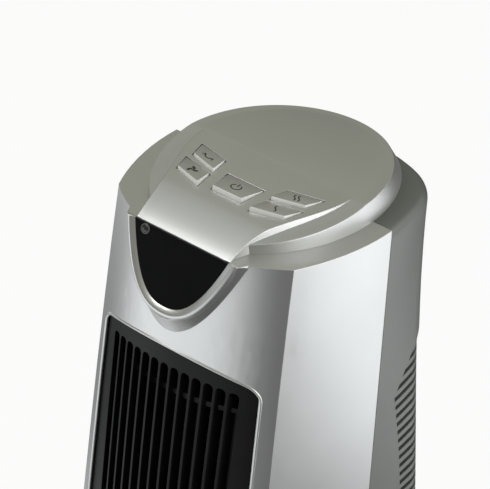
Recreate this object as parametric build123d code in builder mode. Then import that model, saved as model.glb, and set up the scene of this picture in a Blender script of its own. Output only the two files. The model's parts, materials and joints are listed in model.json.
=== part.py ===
from build123d import *
import os
from math import acos, cos, pi, radians, sin, sqrt, tan

os.makedirs("parts", exist_ok=True)

# Tower heater on a swivelling round base.
# Origin on the floor at the swivel axis, front towards -Y, millimetres.

# Heights above the floor
deck_z = 566.0
tower_z = 38.0
tower_height = deck_z - tower_z

# Plan of the tower body at the deck and at its foot.
# The front face runs between two vertical creases, the sides swell back to the rear corners.
crease_half_top = 65.3
crease_half_foot = 82.0
crease_front_top = 65.3
crease_front_foot = 75.0
side_half_top = 82.1
side_half_foot = 98.5
seam_back_top = 11.0
seam_back_foot = 43.0
corner_half_top = 69.0
corner_half_foot = 92.0
corner_back_top = 77.0
corner_back_foot = 108.0
front_bow = 25.5
rear_bow_top = 20.0
rear_bow_foot = 8.0
corner_radius_top = 44.0
corner_radius_foot = 30.0

# Four levels of the body from foot to deck, and how far each has grown towards the foot's plan
height_shares = (0, 0.572, 0.846, 1)
lean_shares = (1, 0.52, 0.31, 0)
belly_shares = (1, 0.82, 0.21, 0)
round_shares = (1, 0.9, 0.2, 0)

# Walls and clearances
wall = 2.4
fit_gap = 0.3
slide_gap = 0.2
seam_gap = 0.3
bore_gap = 0.08
cut = 20.0

# Display window, leaning forward, with a raised lip round its curved edge
window_half = 34.5
window_drop = 43.7
window_lean = 16.0
window_front = 85.5
lip_width = 6.5
lip_proud = 1.2
lip_flare = 8.0
lip_depth = 16.0
lens_thick = 2.0
lens_ledge = 3.0
eye_radius = 3.4
eye_half = 27.3
eye_drop = 6.6
eye_proud = 0.4

# Air outlet in the front
grille_top = 480.5
grille_foot = 118.0
grille_half_top = 59.0
grille_half_foot = 68.0
grille_round = 7.0
grille_sink = 1.8
grille_plate = 2.6
fin_pitch = 7.55
fin_thick = 1.55
fin_deep = 9.0
slot_count = 13
slot_margin = 8.0
slot_round = 2.4
bar_count = 4
bar_high = 3.0

# Top cap: an oval, gently domed disc on a flaring rim, with a raised ramp down to the window
cap_z = 580.0
disc_half = 66.0
disc_back = 86.0
disc_y = 1.0
rim_half = 68.5
rim_back = 92.0
rim_y = 7.0
dome_radius = 840.0
fold_y = 4.0
fold_drop = 10.4
fold_run = 99.0
ramp_tip_half = 56.0
ramp_mid_half = 49.5
ramp_mid_front = 27.0
ramp_neck_half = 37.0
ramp_neck_front = 63.0
ramp_spread = 5.0
ramp_nose_front = 56.0
ramp_knee_front = 72.0
ramp_knee_drop = 7.4
cap_wall = 2.4
disc_round = 3.0

# Keys on the ramp: a power key in the middle and two on each side
key_proud = 2.0
key_travel = 1.5
key_gap = 0.35
key_flange = 1.2
key_skirt = 1.6
power_front_half = 11.2
power_back_half = 14.0
power_front = 46.5
power_back = 26.5
side_inner_front_half = 18.7
side_inner_back_half = 20.7
side_outer_front_half = 40.3
side_outer_back_half = 43.9
near_inner_front = 49.8
near_outer_front = 42.8
near_inner_back = 34.6
near_outer_back = 28.7
far_shift_half = 2.2
far_shift_back = 18.2

# Deck opening under the cap
deck_hole_half = 54.0
deck_hole_back = 66.0
deck_hole_y = 1.0

# Rear shoulder, hand grip and air intake
shoulder_round = 9.0
grip_half = 72.0
grip_z = 530.0
grip_high = 24.0
grip_deep = 16.0
grip_end_y = 40.0
intake_sink = 1.4
intake_plate = 2.4
intake_rim = 4.0
intake_tip_z = 482.0
intake_crown_y = 75.0
intake_crown_z = 460.0
intake_shoulder_y = 40.0
intake_shoulder_z = 428.0
intake_waist_y = 60.0
intake_waist_z = 346.0
intake_foot_y = 70.0
intake_bend_z = 220.0
intake_foot_z = 96.0
intake_round = 5.0
filter_thick = 1.5
louvre_pitch = 7.85
louvre_gap = 3.7

# Air path: heater pack, scroll and cross-flow fan
heater_front = 73.0
heater_deep = 16.0
heater_half = 52.0
heater_foot = 126.0
heater_top = 464.0
frame_bar = 8.0
pack_deep = 12.0
pack_bar_count = 4
pack_bar = 5.0
pack_fin_count = 22
pack_fin = 1.0
cutout_radius = 7.0
cutout_high = 6.0
cutout_x = 24.0
duct_wall = 2.0
duct_foot = 118.0
duct_top_z = 474.0
duct_plate = 3.0
duct_half = 56.0
duct_back = 82.0
duct_round = 12.0
mouth_half = 50.0
scroll_side = 35.0
scroll_rear = 46.0
tongue_gap = 4.0
fan_y = 30.0
fan_radius = 29.0
fan_foot = 124.0
fan_top = 468.0
blade_count = 22
blade_thick = 1.3
blade_deep = 9.0
blade_bow = 1.6
disc_thick = 2.0
fan_disc_count = 4
shaft_radius = 4.0
shaft_top = 484.0
bearing_radius = 9.0
bearing_high = 8.0
motor_radius = 27.0
motor_foot = 82.0
bracket_half = 34.0
bracket_thick = 2.0
post_radius = 4.5
post_half = 48.0
post_front = 50.0
post_back = 74.0

# Tower floor, its bosses and the swivel
floor_thick = 4.0
collar_wall = 4.0
collar_high = 5.0
boss_radius = 4.5
boss_high = 18.0
boss_rib = 18.0
boss_half_front = 78.0
boss_front = 45.0
boss_half_back = 80.0
boss_back = 75.0
hub_radius = 22.0
hub_bore = 12.0
hub_top_z = 48.0
gear_screw_count = 3
washer_thick = 0.8
washer_wide = 24.0

# Swivel drive: a pinion on the tower walks round a toothed sector fixed to the hub
gear_module = 1.25
ring_teeth = 48
sector_teeth = 15
pinion_teeth = 12
gear_high = 6.0
pressure_angle = 20.0
gear_backlash = 0.3
ring_addendum_share = 0.75
pinion_addendum_share = 0.95
dedendum_share = 1.25
pinion_shaft_radius = 2.0
drive_angle = -45.0
drive_radius = 24.0
drive_high = 14.0
drive_z = 58.0
drive_ear_reach = 29.0
drive_ear_radius = 5.0
drive_ear_thick = 1.5
drive_post_radius = 4.0

# Round base
base_top_z = 35.0
base_radius = 128.0
base_edge_z = 15.0
base_flat_radius = 66.0
base_bow = 2.5
base_wall = 2.6
foot_high = 3.0
foot_radius = 9.0
foot_circle = 108.0
foot_count = 5
plate_thick = 2.5
base_screw_circle = 92.0
ballast_thick = 9.0
ballast_inner = 42.0
ballast_outer = 82.0
plunger_radius = 3.0
plunger_front = 93.0
plunger_travel = 4.0
plunger_flange = 4.6
plunger_flange_thick = 1.5
guide_wall = 2.0
guide_high = 6.0
switch_wide = 20.0
switch_deep = 8.0
switch_high = 6.0
gland_radius = 4.0
gland_bore = 2.6
gland_rim = 1.0
gland_z = 9.8
gland_long = 12.0

# Cap posts, boards and screws
cap_post_radius = 3.6
cap_post_half = 59.0
cap_post_y = -6.0
cap_post_back = 77.0
cap_post_nose_half = 20.0
cap_post_nose_front = 70.5
board_z = 558.0
board_thick = 1.6
board_inset = 4.0
board_back = 28.0
board_post_half = 42.0
board_post_back = 20.0
board_post_front = 57.0
tact_wide = 6.0
tact_high = 3.4
tact_button = 1.7
display_wide = 34.0
display_high = 14.0
display_drop = 13.0
display_proud = 2.0
screw_radius = 1.6
screw_head_radius = 3.0
screw_head_high = 2.0
screw_grip = 8.0


def between(top, foot, share):
    return top + (foot - top) * share


def mirrored(point):
    return (-point[0], point[1])


# Places of the posts under the cap, board and duct, and of the screw bosses on the tower floor

floor_top = tower_z + floor_thick
cap_posts = (
    (-cap_post_half, cap_post_y),
    (cap_post_half, cap_post_y),
    (0, cap_post_back),
    (-cap_post_nose_half, -cap_post_nose_front),
    (cap_post_nose_half, -cap_post_nose_front),
)
board_posts = (
    (-board_post_half, board_post_back),
    (board_post_half, board_post_back),
    (0, -board_post_front),
)
duct_posts = (
    (-post_half, -post_front),
    (post_half, -post_front),
    (-post_half, post_back),
    (post_half, post_back),
)
floor_bosses_front = ((-boss_half_front, -boss_front), (boss_half_front, -boss_front))
floor_bosses_back = ((-boss_half_back, boss_back), (boss_half_back, boss_back))


# Body shell

def body_plan(level, inset):
    flare = 1 - height_shares[level]
    lean = lean_shares[level]
    belly = belly_shares[level]
    crease = (
        between(crease_half_top, crease_half_foot, flare),
        -between(crease_front_top, crease_front_foot, lean),
    )
    side = (
        between(side_half_top, side_half_foot, flare),
        between(seam_back_top, seam_back_foot, flare),
    )
    corner = (
        between(corner_half_top, corner_half_foot, belly),
        between(corner_back_top, corner_back_foot, belly),
    )
    rear = corner[1] + between(rear_bow_top, rear_bow_foot, belly)
    with BuildSketch(Plane.XY.offset(tower_z + tower_height * height_shares[level])) as plan:
        with BuildLine():
            ThreePointArc(mirrored(crease), (0, crease[1] - front_bow), crease)
            ThreePointArc(crease, side, corner)
            ThreePointArc(corner, (0, rear), mirrored(corner))
            ThreePointArc(mirrored(corner), mirrored(side), mirrored(crease))
        make_face()
        corners = plan.vertices().sort_by(Axis.Y)[-2:]
        fillet(corners, between(corner_radius_top, corner_radius_foot, round_shares[level]))
        if inset:
            offset(amount=-inset, kind=Kind.INTERSECTION)
    return plan.sketch


def body_solid(inset):
    with BuildPart() as solid:
        for level in range(len(height_shares)):
            add(body_plan(level, inset))
        loft()
    return solid.part


seam_plane = Plane(
    origin=(0, seam_back_top, deck_z),
    x_dir=(1, 0, 0),
    z_dir=(0, tower_height, seam_back_foot - seam_back_top),
)
outer_body = body_solid(0)
inner_split = split(body_solid(wall), bisect_by=Plane.XY.offset(deck_z - wall), keep=Keep.BOTTOM)
inner_shoulder = inner_split.edges().filter_by_position(Axis.Z, deck_z - wall, deck_z - wall, (True, True))
inner_body = inner_split.fillet(shoulder_round - wall, inner_shoulder.sort_by(Axis.Y)[1:])
front_body = split(outer_body, bisect_by=seam_plane, keep=Keep.BOTTOM)
rear_body = split(outer_body, bisect_by=seam_plane.offset(seam_gap), keep=Keep.TOP)


# Window plane: leans forward going down, its y axis points up the glass
window_plane = Plane(
    origin=(0, -window_front, deck_z),
    x_dir=(1, 0, 0),
    z_dir=(0, -cos(radians(window_lean)), sin(radians(window_lean))),
)


def window_face(plane, half, drop, rise, sink=0):
    with BuildSketch(plane) as face:
        with BuildLine():
            Bezier((-half, -sink), (0, -sink - drop - drop), (half, -sink))
            Polyline((half, -sink), (half, rise), (-half, rise), (-half, -sink))
        make_face()
    return face.sketch


def window_prism(start, end, grow, rise, sink=0):
    drop = window_drop + grow - sink
    with BuildPart() as prism:
        extrude(
            window_face(window_plane.offset(start), window_half + grow, drop, rise, sink),
            amount=end - start,
            dir=window_plane.z_dir,
        )
    return prism.part


def window_lip():
    root = lip_width + lip_flare
    crest_plane = window_plane.offset(lip_proud)
    root_plane = window_plane.offset(-lip_depth)
    with BuildPart() as lip:
        add(window_face(crest_plane, window_half + lip_width, window_drop + lip_width, wall))
        add(window_face(root_plane, window_half + root, window_drop + root + lip_flare, wall))
        loft(ruled=True)
        split(bisect_by=Plane.XY.offset(deck_z), keep=Keep.BOTTOM)
    return lip.part


def window_seat():
    with BuildPart() as seat:
        add(window_prism(-lens_thick - wall, 0, lens_ledge, wall))
        split(bisect_by=Plane.XY.offset(deck_z), keep=Keep.BOTTOM)
    return seat.part


def deck_opening():
    with BuildPart() as opening:
        with BuildSketch(Plane.XY.offset(deck_z - cut)):
            with Locations((0, deck_hole_y)):
                Ellipse(deck_hole_half, deck_hole_back)
        extrude(amount=cut + cut)
    return opening.part


def grille_face(shrink, turn):
    top = grille_top - shrink
    foot = grille_foot + shrink
    with BuildSketch(Plane.XZ) as face:
        with BuildLine():
            Polyline(
                (-grille_half_foot + shrink, foot),
                (grille_half_foot - shrink, foot),
                (grille_half_top - shrink, top),
                (-grille_half_top + shrink, top),
                close=True,
            )
        make_face()
        fillet(face.vertices(), turn)
    return face.sketch


def front_prism(face, deep):
    with BuildPart() as prism:
        extrude(face, amount=deep, dir=(0, -1, 0))
    return prism.part


front_reach = crease_front_foot + front_bow + cut


def cap_screw_holes():
    with BuildPart() as holes:
        with BuildSketch(Plane.XY.offset(deck_z - wall)):
            with Locations(*cap_posts):
                Circle(screw_radius)
        extrude(amount=wall)
    return holes.part


def floor_bosses(places):
    with BuildPart() as bosses:
        with BuildSketch(Plane.XY.offset(floor_top)):
            with Locations(*places):
                Circle(boss_radius)
            with Locations(*((x + (boss_rib if x > 0 else -boss_rib) / 2, y) for x, y in places)):
                Rectangle(boss_rib, wall)
        extrude(amount=boss_high)
        add(body_solid(wall / 2), mode=Mode.INTERSECT)
        with BuildSketch(Plane.XY.offset(floor_top)):
            with Locations(*places):
                Circle(screw_radius)
        extrude(amount=screw_grip, mode=Mode.SUBTRACT)
    return bosses.part


with BuildPart() as front_housing:
    add(front_body)
    add(window_prism(lip_proud, cut + cut, lip_width, cut), mode=Mode.SUBTRACT)
    add(window_lip())
    add(inner_body, mode=Mode.SUBTRACT)
    add(window_seat())
    add(window_prism(-lens_thick, cut, 0, cut), mode=Mode.SUBTRACT)
    add(window_prism(-cut, 0, -lens_ledge, -lens_ledge, lens_ledge + lens_ledge), mode=Mode.SUBTRACT)
    add(front_prism(grille_face(0, grille_round), front_reach), mode=Mode.SUBTRACT)
    add(deck_opening(), mode=Mode.SUBTRACT)
    add(cap_screw_holes(), mode=Mode.SUBTRACT)
    add(floor_bosses(floor_bosses_front))
front_housing.part.label = "front_housing"
export_step(front_housing.part, "parts/front_housing.step")


# Rear housing

def side_prism(face, half):
    with BuildPart() as prism:
        extrude(face, amount=half, dir=(1, 0, 0), both=True)
    return prism.part


side_reach = side_half_foot + cut
rear_reach = corner_back_foot + rear_bow_foot + cut


def intake_outline(shrink, turn):
    with BuildSketch(Plane.YZ) as face:
        with BuildLine():
            ThreePointArc(
                (rear_reach, intake_tip_z - shrink),
                (intake_crown_y, intake_crown_z - shrink),
                (intake_shoulder_y + shrink, intake_shoulder_z - shrink),
            )
            ThreePointArc(
                (intake_shoulder_y + shrink, intake_shoulder_z - shrink),
                (intake_waist_y + shrink, intake_waist_z),
                (intake_foot_y + shrink, intake_bend_z),
            )
            Polyline(
                (intake_foot_y + shrink, intake_bend_z),
                (intake_foot_y + shrink, intake_foot_z + shrink),
                (rear_reach, intake_foot_z + shrink),
                (rear_reach, intake_tip_z - shrink),
            )
        make_face()
        fillet(face.vertices().filter_by_position(Axis.X, 0, rear_reach - cut / 2), turn)
    return face


def intake_face(shrink, turn):
    return intake_outline(shrink, turn).sketch


def grip_prism(grow):
    with BuildPart() as prism:
        with BuildSketch(Plane.XZ.offset(-rear_reach)):
            with Locations((0, grip_z)):
                SlotOverall(grip_half + grip_half + grow + grow, grip_high + grow + grow)
        extrude(amount=rear_reach - grip_end_y + grow)
    return prism.part


grip_pocket = grip_prism(0) - body_solid(grip_deep)
grip_block = outer_body & (grip_prism(wall) - body_solid(grip_deep + wall))

with BuildPart() as rear_housing:
    add(rear_body)
    shoulder = rear_housing.edges().filter_by_position(Axis.Z, deck_z, deck_z, (True, True))
    shoulder = shoulder.sort_by(Axis.Y)[1:]
    fillet(shoulder, shoulder_round)
    add(inner_body - grip_block, mode=Mode.SUBTRACT)
    add(grip_pocket, mode=Mode.SUBTRACT)
    add(side_prism(intake_face(0, intake_round), side_reach), mode=Mode.SUBTRACT)
    add(deck_opening(), mode=Mode.SUBTRACT)
    add(cap_screw_holes(), mode=Mode.SUBTRACT)
    add(floor_bosses(floor_bosses_back))
rear_housing.part.label = "rear_housing"
export_step(rear_housing.part, "parts/rear_housing.step")


# Louvred intake panel, clipped into the rear housing from inside, and the dust filter behind it

panel_outer = body_solid(intake_sink)
panel_flange = body_solid(wall + fit_gap)
panel_inner = body_solid(intake_sink + intake_plate)
filter_inner = body_solid(intake_sink + intake_plate + fit_gap + filter_thick)
filter_outer = body_solid(intake_sink + intake_plate + fit_gap)


def louvre_slots():
    count = int((intake_tip_z - intake_foot_z) / louvre_pitch)
    with BuildPart() as slots:
        with BuildSketch(Plane.YZ):
            with Locations((rear_reach / 2, intake_foot_z + count * louvre_pitch / 2)):
                with GridLocations(0, louvre_pitch, 1, count):
                    Rectangle(rear_reach, louvre_gap)
            add(intake_outline(intake_rim, intake_round).sketch_local, mode=Mode.INTERSECT)
        extrude(amount=side_reach, both=True)
    return slots.part


with BuildPart() as intake_panel:
    add(panel_outer & side_prism(intake_face(fit_gap, intake_round), side_reach))
    add(panel_flange & side_prism(intake_face(-intake_rim, intake_round), side_reach))
    add(panel_inner, mode=Mode.SUBTRACT)
    add(louvre_slots(), mode=Mode.SUBTRACT)
intake_panel.part.label = "intake_panel"
export_step(intake_panel.part, "parts/intake_panel.step")

with BuildPart() as dust_filter:
    add(filter_outer & side_prism(intake_face(0, intake_round), side_reach))
    add(filter_inner, mode=Mode.SUBTRACT)
dust_filter.part.label = "dust_filter"
export_step(dust_filter.part, "parts/dust_filter.step")


# Front grille: a dark plate with upright fins, and bars behind that lean on the heater frame

def grille_slots():
    high = grille_top - grille_foot - slot_margin - slot_margin
    with BuildSketch(Plane.XZ) as slots:
        with Locations((0, (grille_top + grille_foot) / 2)):
            with GridLocations(fin_pitch, 0, slot_count, 1):
                RectangleRounded(fin_pitch - fin_thick, high, slot_round)
    return slots.sketch


def grille_fins():
    high = grille_top - grille_foot - slot_margin
    with BuildSketch(Plane.XZ) as fins:
        with Locations((0, (grille_top + grille_foot) / 2)):
            with GridLocations(fin_pitch, 0, slot_count - 1, 1):
                Rectangle(fin_thick, high)
    return fins.sketch


def grille_bars():
    pitch = (heater_top - heater_foot - frame_bar) / (bar_count - 1)
    with BuildPart() as bars:
        with BuildSketch(Plane.XZ.offset(heater_front)):
            with Locations((0, (heater_top + heater_foot) / 2)):
                with GridLocations(0, pitch, 1, bar_count):
                    Rectangle(heater_half + heater_half, bar_high)
        extrude(amount=cut)
    return bars.part


grille_outer = body_solid(grille_sink)
grille_back = body_solid(grille_sink + grille_plate)
fin_back = body_solid(grille_sink + fin_deep)
bar_front = body_solid(grille_sink + fin_deep / 2)

with BuildPart() as front_grille:
    add(front_prism(grille_face(fit_gap, grille_round - fit_gap), front_reach) & grille_outer)
    add(grille_back, mode=Mode.SUBTRACT)
    add(front_prism(grille_slots(), front_reach), mode=Mode.SUBTRACT)
    add((front_prism(grille_fins(), front_reach) & grille_outer) - fin_back)
    add(grille_bars() & bar_front)
front_grille.part.label = "front_grille"
export_step(front_grille.part, "parts/front_grille.step")


# Display window and what is behind it

with BuildPart() as window_lens:
    extrude(
        window_face(
            window_plane.offset(-lens_thick),
            window_half - fit_gap,
            window_drop - fit_gap - fit_gap,
            -fit_gap,
            fit_gap + fit_gap,
        ),
        amount=lens_thick,
        dir=window_plane.z_dir,
    )
    with BuildSketch(window_plane):
        with Locations((-eye_half, -eye_drop)):
            Circle(eye_radius + bore_gap)
    extrude(amount=-lens_thick, mode=Mode.SUBTRACT)
window_lens.part.label = "window_lens"
export_step(window_lens.part, "parts/window_lens.step")

board_back_offset = -lens_thick - wall

with BuildPart() as ir_eye:
    with BuildSketch(window_plane.offset(board_back_offset)):
        with Locations((-eye_half, -eye_drop)):
            Circle(eye_radius)
    extrude(amount=eye_proud - board_back_offset)
    fillet(ir_eye.faces().sort_by(Axis.Y)[0].edges(), eye_proud / 2)
ir_eye.part.label = "ir_eye"
export_step(ir_eye.part, "parts/ir_eye.step")

with BuildPart() as display_board:
    extrude(
        window_face(
            window_plane.offset(board_back_offset),
            window_half,
            window_drop - lens_ledge - lens_ledge,
            -lens_ledge / 2,
            lens_ledge,
        ),
        amount=board_thick,
        dir=-window_plane.z_dir,
    )
    add(panel_flange, mode=Mode.INTERSECT)
display_board.part.label = "display_board"
export_step(display_board.part, "parts/display_board.step")

with BuildPart() as display_digits:
    with BuildSketch(window_plane.offset(board_back_offset)):
        with Locations((0, -display_drop)):
            RectangleRounded(display_wide, display_high, slot_round)
    extrude(amount=display_proud)
display_digits.part.label = "display_digits"
export_step(display_digits.part, "parts/display_digits.step")


# Top cap: the oval disc on its rim, with the raised ramp running down to the window

rim_high = cap_z - deck_z


def dome_drop(y):
    return dome_radius - sqrt(dome_radius * dome_radius - (y - fold_y) * (y - fold_y))


def disc_block(inset):
    reach = rim_back + cut
    with BuildPart() as block:
        with BuildSketch(Plane.XY.offset(deck_z)):
            with Locations((0, rim_y)):
                Ellipse(rim_half - inset, rim_back - inset)
        with BuildSketch(Plane.XY.offset(cap_z + rim_high)):
            with Locations((0, disc_y + disc_y - rim_y)):
                Ellipse(disc_half + disc_half - rim_half - inset, disc_back + disc_back - rim_back - inset)
        loft(ruled=True)
        with BuildSketch(Plane.YZ) as profile:
            with BuildLine():
                top = cap_z - inset
                ThreePointArc(
                    (fold_y, top),
                    (fold_y + reach / 2, top - dome_drop(fold_y + reach / 2)),
                    (fold_y + reach, top - dome_drop(fold_y + reach)),
                )
                Polyline(
                    (fold_y + reach, top - dome_drop(fold_y + reach)),
                    (fold_y + reach, deck_z),
                    (fold_y - fold_run, deck_z),
                    (fold_y - fold_run, top - fold_drop),
                    (fold_y, top),
                )
            make_face()
        extrude(amount=reach, both=True, mode=Mode.INTERSECT)
        rim = block.edges().filter_by(lambda edge: edge.center().Z > deck_z)
        rim = rim.filter_by(GeomType.LINE, reverse=True)
        fillet(rim, disc_round - inset)
    return block.part


def ramp_face(z, grow):
    tip = ramp_tip_half + grow
    mid = ramp_mid_half + grow
    neck = ramp_neck_half + grow / 2
    with BuildSketch(Plane.XY.offset(z)) as face:
        with BuildLine():
            Spline(
                (tip, fold_y),
                (mid, -ramp_mid_front),
                (neck, -ramp_neck_front),
                (window_half, -window_front),
            )
            Line((window_half, -window_front), (-window_half, -window_front))
            Spline(
                (-window_half, -window_front),
                (-neck, -ramp_neck_front),
                (-mid, -ramp_mid_front),
                (-tip, fold_y),
            )
            Line((-tip, fold_y), (tip, fold_y))
        make_face()
    return face.sketch


def ramp_block(inset):
    with BuildPart() as ramp:
        add(ramp_face(deck_z, ramp_spread - inset))
        add(ramp_face(cap_z, -inset))
        loft(ruled=True)
        with BuildSketch(Plane.YZ):
            with BuildLine():
                top = cap_z - inset
                nose = (-ramp_nose_front + inset, top - dome_drop(-ramp_nose_front))
                knee = (-ramp_knee_front + inset, deck_z + ramp_knee_drop - inset)
                toe = (-window_front + inset, deck_z)
                ThreePointArc((fold_y, top), (nose[0] / 2, top - dome_drop(nose[0] / 2)), nose)
                ThreePointArc(nose, knee, toe)
                Polyline(toe, (fold_y, deck_z), (fold_y, top))
            make_face()
        extrude(amount=rim_half + cut, both=True, mode=Mode.INTERSECT)
    return ramp.part


def cap_solid(inset):
    return disc_block(inset) + ramp_block(inset)


def key_outline(plane, corners, grow):
    with BuildSketch(plane) as outline:
        with BuildLine():
            Polyline(*corners, close=True)
        make_face()
        if grow:
            offset(amount=grow, kind=Kind.INTERSECTION)
    return outline.sketch


power_corners = (
    (-power_front_half, -power_front),
    (power_front_half, -power_front),
    (power_back_half, -power_back),
    (-power_back_half, -power_back),
)
near_corners = (
    (side_inner_front_half, -near_inner_front),
    (side_outer_front_half, -near_outer_front),
    (side_outer_back_half, -near_outer_back),
    (side_inner_back_half, -near_inner_back),
)
far_corners = tuple((x + far_shift_half, y + far_shift_back) for x, y in near_corners)
key_corners = {
    "power_key": power_corners,
    "heat_key_near": near_corners,
    "heat_key_far": far_corners,
    "fan_key": tuple(mirrored(corner) for corner in near_corners),
    "swing_key": tuple(mirrored(corner) for corner in far_corners),
}


def centre(corners):
    return (sum(x for x, y in corners) / len(corners), sum(y for x, y in corners) / len(corners))


board_top = board_z + board_thick
cap_outer = cap_solid(0)
cap_inner = cap_solid(cap_wall)

with BuildPart() as top_cap:
    add(cap_outer)
    add(cap_inner, mode=Mode.SUBTRACT)
    with BuildSketch(Plane.XY.offset(deck_z)):
        with Locations(*cap_posts):
            Circle(cap_post_radius)
    extrude(until=Until.NEXT)
    with BuildSketch(Plane.XY.offset(board_top)):
        with Locations(*board_posts):
            Circle(cap_post_radius)
    extrude(until=Until.NEXT)
    for corners in key_corners.values():
        add(key_outline(Plane.XY.offset(board_top), corners, key_gap))
        extrude(amount=cut + rim_high, mode=Mode.SUBTRACT)
    with BuildSketch(Plane.XY.offset(deck_z - wall)):
        with Locations(*cap_posts):
            Circle(screw_radius)
    extrude(amount=screw_grip, mode=Mode.SUBTRACT)
    with BuildSketch(Plane.XY.offset(board_z)):
        with Locations(*board_posts):
            Circle(screw_radius)
    extrude(amount=screw_grip, mode=Mode.SUBTRACT)
top_cap.part.label = "top_cap"
export_step(top_cap.part, "parts/top_cap.step")


# Keys, each with a flange under the cap and a stem above its switch

stem_foot = board_top + tact_high + tact_button + key_travel + bore_gap
roof_z = cap_z - cap_wall


def key_part(corners):
    middle = centre(corners)
    front = min(y for x, y in corners)
    back = max(y for x, y in corners)
    roof_front = roof_z - dome_drop(front - key_flange)
    with BuildPart() as key:
        extrude(key_outline(Plane.XY.offset(roof_front - key_skirt), corners, 0), amount=cut)
        with BuildSketch(Plane.YZ):
            with BuildLine():
                Polyline(
                    (back + cut, roof_front - key_skirt),
                    (front - cut, roof_front - key_skirt),
                    (front - cut, cap_z - dome_drop(front) + key_proud),
                    (front, cap_z - dome_drop(front) + key_proud),
                    (back, cap_z - dome_drop(back)),
                    (back + cut, cap_z - dome_drop(back)),
                    close=True,
                )
            make_face()
        extrude(amount=side_reach, both=True, mode=Mode.INTERSECT)
        add(
            extrude(
                key_outline(Plane.XY.offset(roof_front - key_skirt - fit_gap), corners, key_flange),
                amount=key_skirt,
                mode=Mode.PRIVATE,
            )
        )
        with BuildSketch(Plane.XY.offset(stem_foot)):
            with Locations(middle):
                Circle(tact_wide / 2)
        extrude(amount=roof_front - key_skirt - stem_foot)
    return key


for key_name, corners in key_corners.items():
    key = key_part(corners)
    key.part.label = key_name
    export_step(key.part, f"parts/{key_name}.step")


# Control board under the cap, with a switch under every key

with BuildPart() as control_board:
    with BuildSketch(Plane.XY.offset(board_z)):
        with Locations((0, deck_hole_y)):
            Ellipse(deck_hole_half - board_inset, deck_hole_back - board_inset)
        with Locations((0, board_back + deck_hole_back)):
            Rectangle(side_reach, deck_hole_back + deck_hole_back, mode=Mode.SUBTRACT)
        with Locations(*board_posts):
            Circle(screw_radius, mode=Mode.SUBTRACT)
    extrude(amount=board_thick)
control_board.part.label = "control_board"
export_step(control_board.part, "parts/control_board.step")

with BuildPart() as key_switches:
    with BuildSketch(Plane.XY.offset(board_top)):
        with Locations(*(centre(corners) for corners in key_corners.values())):
            Rectangle(tact_wide, tact_wide)
    extrude(amount=tact_high)
    with BuildSketch(Plane.XY.offset(board_top)):
        with Locations(*(centre(corners) for corners in key_corners.values())):
            Circle(tact_button)
    extrude(amount=tact_high + tact_button)
key_switches.part.label = "key_switches"
export_step(key_switches.part, "parts/key_switches.step")


# Heater pack in its frame, with the thermal cutout on top

heater_middle = (heater_foot + heater_top) / 2
heater_high = heater_top - heater_foot
heater_back = heater_front - heater_deep
pack_half = heater_half - frame_bar
pack_high = heater_high - frame_bar - frame_bar

with BuildPart() as heater_frame:
    with BuildSketch(Plane.XZ.offset(heater_back)):
        with Locations((0, heater_middle)):
            Rectangle(heater_half + heater_half, heater_high)
            Rectangle(pack_half + pack_half, pack_high, mode=Mode.SUBTRACT)
    extrude(amount=heater_deep)
heater_frame.part.label = "heater_frame"
export_step(heater_frame.part, "parts/heater_frame.step")

with BuildPart() as heater_pack:
    with BuildSketch(Plane.XZ.offset(heater_front - (heater_deep + pack_deep) / 2)):
        with Locations((0, heater_middle)):
            bar_pitch = (pack_half + pack_half - pack_bar) / (pack_bar_count - 1)
            with GridLocations(bar_pitch, 0, pack_bar_count, 1):
                Rectangle(pack_bar, pack_high)
            with GridLocations(0, (pack_high - pack_fin) / (pack_fin_count - 1), 1, pack_fin_count):
                Rectangle(pack_half + pack_half, pack_fin)
    extrude(amount=pack_deep)
heater_pack.part.label = "heater_pack"
export_step(heater_pack.part, "parts/heater_pack.step")

with BuildPart() as thermal_cutout:
    with BuildSketch(Plane.XY.offset(heater_top)):
        with Locations((cutout_x, -(heater_front + heater_back) / 2)):
            Circle(cutout_radius)
    extrude(amount=cutout_high)
thermal_cutout.part.label = "thermal_cutout"
export_step(thermal_cutout.part, "parts/thermal_cutout.step")


# Duct round the fan: curved side walls between a floor plate and a lid

def duct_plate_sketch(z):
    with BuildSketch(Plane.XY.offset(z)) as sketch:
        with Locations((0, (duct_back - heater_back) / 2)):
            RectangleRounded(duct_half + duct_half, duct_back + heater_back, duct_round)
    return sketch.sketch


with BuildPart() as air_duct:
    add(extrude(duct_plate_sketch(duct_foot), amount=duct_plate, mode=Mode.PRIVATE))
    with BuildSketch(Plane.XY.offset(duct_foot)):
        with BuildLine():
            Line((mouth_half, -heater_back), (scroll_side, 0))
            ThreePointArc((scroll_side, 0), (scroll_rear, fan_y + fan_radius / 2), (0, fan_y + scroll_rear))
        trace(line_width=duct_wall)
    extrude(amount=duct_top_z - duct_plate - duct_foot)
    with BuildSketch(Plane.XY.offset(duct_foot)):
        with BuildLine():
            Line((-mouth_half, -heater_back), (-fan_radius - tongue_gap, fan_y - fan_radius / 2))
        trace(line_width=duct_wall)
    extrude(amount=duct_top_z - duct_plate - duct_foot)
    with BuildSketch(Plane.XY.offset(duct_foot)):
        with Locations((0, -heater_back - duct_wall)):
            Rectangle(duct_half + duct_half, duct_wall + duct_wall)
    extrude(amount=duct_top_z - duct_foot, mode=Mode.SUBTRACT)
    with BuildSketch(Plane.XY.offset(duct_foot)):
        with Locations((0, fan_y)):
            Circle(shaft_radius + fit_gap)
    extrude(amount=duct_plate, mode=Mode.SUBTRACT)
air_duct.part.label = "air_duct"
export_step(air_duct.part, "parts/air_duct.step")

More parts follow.
